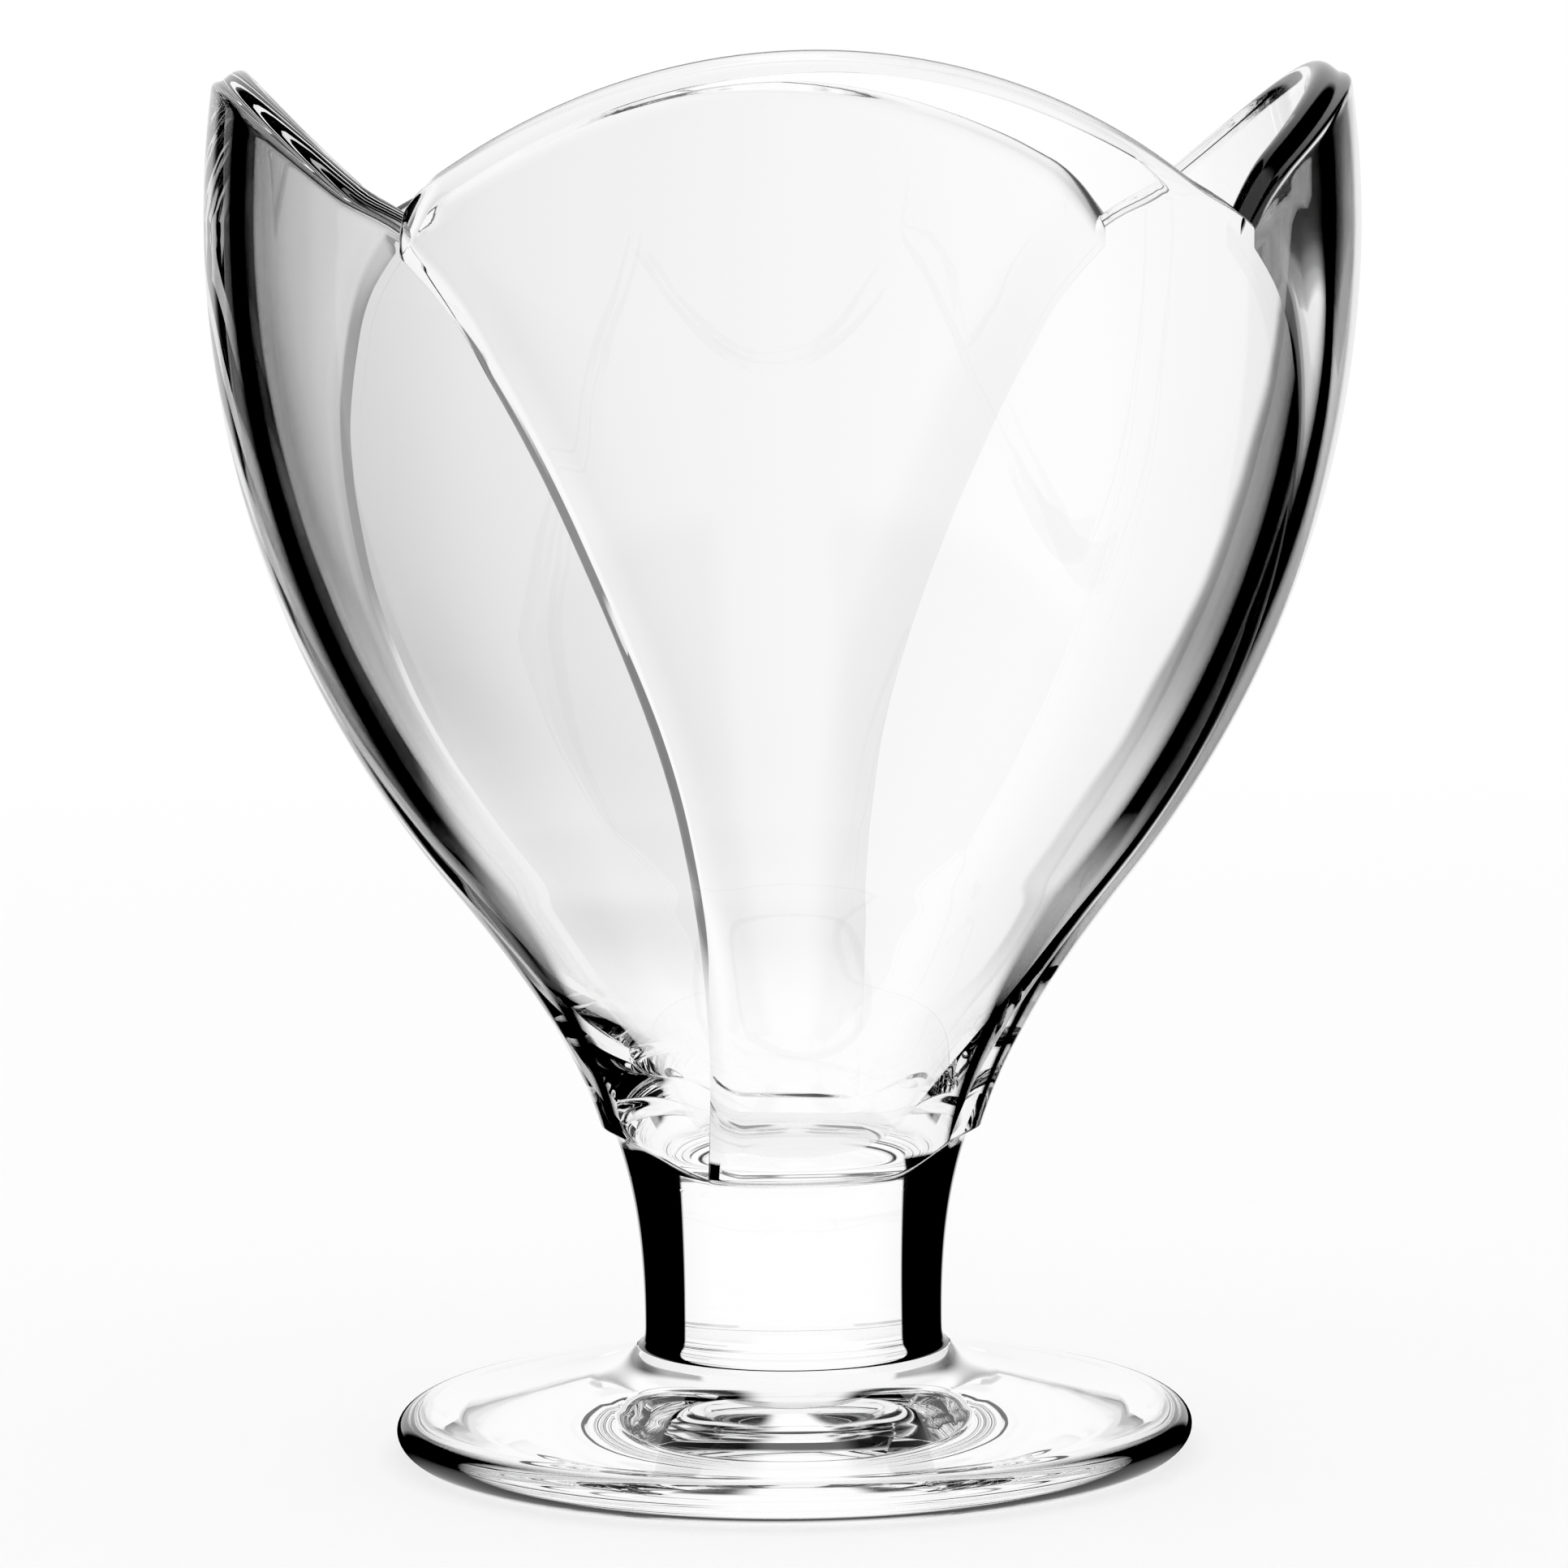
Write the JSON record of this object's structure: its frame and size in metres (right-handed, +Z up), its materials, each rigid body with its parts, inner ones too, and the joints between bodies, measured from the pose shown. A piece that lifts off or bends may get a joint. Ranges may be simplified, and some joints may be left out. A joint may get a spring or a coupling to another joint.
{
  "type": "footed sundae dish",
  "caption": "Footed dish of clear pressed glass for ice cream and layered desserts: overlapping tulip petals on a short solid stem and a round foot.",
  "frame": {"origin": "centre of the foot's resting ring, on the table", "axes": "+Z up along the stem, front petal faces -Y, +X to the right seen from the front"},
  "size_m": [0.1026, 0.1026, 0.1245],
  "materials": {
    "bowl_glass": "clear fire-polished pressed glass",
    "stem_glass": "clear solid pressed glass",
    "foot_glass": "clear pressed glass with a ground resting ring"
  },
  "bodies": {
    "root": {"foot": "foot_glass", "stem": "stem_glass", "bowl_floor": "bowl_glass", "petal_front": "bowl_glass", "petal_right": "bowl_glass", "petal_back": "bowl_glass", "petal_left": "bowl_glass"}
  },
  "joints": []
}
